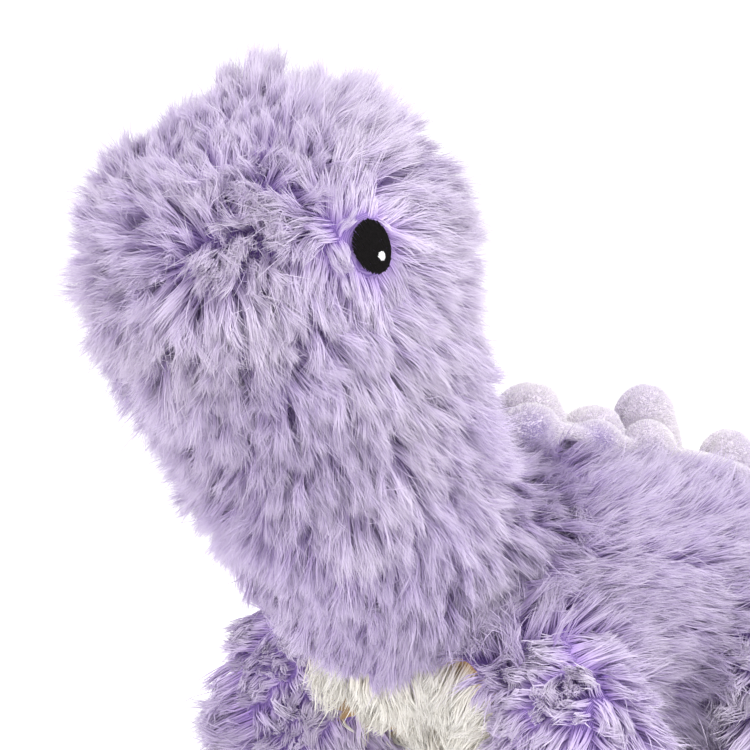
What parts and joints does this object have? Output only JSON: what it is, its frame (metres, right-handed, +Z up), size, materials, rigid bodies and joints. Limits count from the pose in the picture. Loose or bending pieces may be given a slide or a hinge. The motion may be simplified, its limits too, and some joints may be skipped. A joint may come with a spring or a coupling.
{
  "type": "stuffed dinosaur",
  "caption": "Long-necked dinosaur soft toy in lavender long pile with a pale chest, velour spikes along the back and embroidered eyes; neck, head, legs and tail flex.",
  "frame": {"origin": "on the floor under the centre of the bounding box", "axes": "+Z up, the dinosaur looks along -Y, its left side is +X, X is its plane-symmetric axis"},
  "size_m": [0.1688, 0.343, 0.246],
  "materials": {
    "lavender_pile": "matte",
    "cream_pile": "matte",
    "pale_velour": "matte",
    "sole_cloth": "matte",
    "black_thread": "satin",
    "white_thread": "satin",
    "fibre_filling": "matte"
  },
  "bodies": {
    "torso": {"body_cover_left": "lavender_pile", "body_cover_right": "lavender_pile", "belly_cover": "cream_pile", "body_stuffing": "fibre_filling", "back_strip": "pale_velour", "back_spike_1": "pale_velour", "back_spike_2": "pale_velour", "back_spike_3": "pale_velour", "back_spike_4": "pale_velour"},
    "neck": {"neck_cover_left": "lavender_pile", "neck_cover_right": "lavender_pile", "neck_stuffing": "fibre_filling"},
    "head": {"head_cover_left": "lavender_pile", "head_cover_right": "lavender_pile", "head_stuffing": "fibre_filling", "eye_left": "black_thread", "eye_right": "black_thread", "eye_glint_left": "white_thread", "eye_glint_right": "white_thread"},
    "tail": {"tail_cover_left": "lavender_pile", "tail_cover_right": "lavender_pile", "tail_stuffing": "fibre_filling", "tail_spike_1": "pale_velour", "tail_spike_2": "pale_velour"},
    "leg_front_left": {"leg_front_left_cover": "lavender_pile", "leg_front_left_sole": "sole_cloth", "leg_front_left_stuffing": "fibre_filling"},
    "leg_front_right": {"leg_front_right_cover": "lavender_pile", "leg_front_right_sole": "sole_cloth", "leg_front_right_stuffing": "fibre_filling"},
    "leg_rear_left": {"leg_rear_left_cover": "lavender_pile", "leg_rear_left_sole": "sole_cloth", "leg_rear_left_stuffing": "fibre_filling"},
    "leg_rear_right": {"leg_rear_right_cover": "lavender_pile", "leg_rear_right_sole": "sole_cloth", "leg_rear_right_stuffing": "fibre_filling"}
  },
  "joints": [
    {"name": "neck_tilt", "type": "hinge", "parent": "torso", "child": "neck", "pos_m": [0, -0.065, 0.093], "axis": [1, 0, 0], "range_deg": [-15, 15], "stiffness_Nm_per_rad": 3},
    {"name": "head_turn", "type": "hinge", "parent": "neck", "child": "head", "pos_m": [0, -0.08615, 0.1405], "axis": [0, -0.4067, 0.9135], "range_deg": [-30, 30], "stiffness_Nm_per_rad": 1},
    {"name": "tail_swing", "type": "hinge", "parent": "torso", "child": "tail", "pos_m": [0, 0.09, 0.066], "axis": [0, 0, 1], "range_deg": [-20, 20], "stiffness_Nm_per_rad": 0.6},
    {"name": "leg_front_left_swing", "type": "hinge", "parent": "torso", "child": "leg_front_left", "pos_m": [0.056, -0.048, 0.06], "axis": [1, 0, 0], "range_deg": [-20, 20], "stiffness_Nm_per_rad": 2},
    {"name": "leg_front_right_swing", "type": "hinge", "parent": "torso", "child": "leg_front_right", "pos_m": [-0.056, -0.048, 0.06], "axis": [1, 0, 0], "range_deg": [-20, 20], "stiffness_Nm_per_rad": 2},
    {"name": "leg_rear_left_swing", "type": "hinge", "parent": "torso", "child": "leg_rear_left", "pos_m": [0.056, 0.05, 0.06], "axis": [1, 0, 0], "range_deg": [-20, 20], "stiffness_Nm_per_rad": 2},
    {"name": "leg_rear_right_swing", "type": "hinge", "parent": "torso", "child": "leg_rear_right", "pos_m": [-0.056, 0.05, 0.06], "axis": [1, 0, 0], "range_deg": [-20, 20], "stiffness_Nm_per_rad": 2}
  ]
}
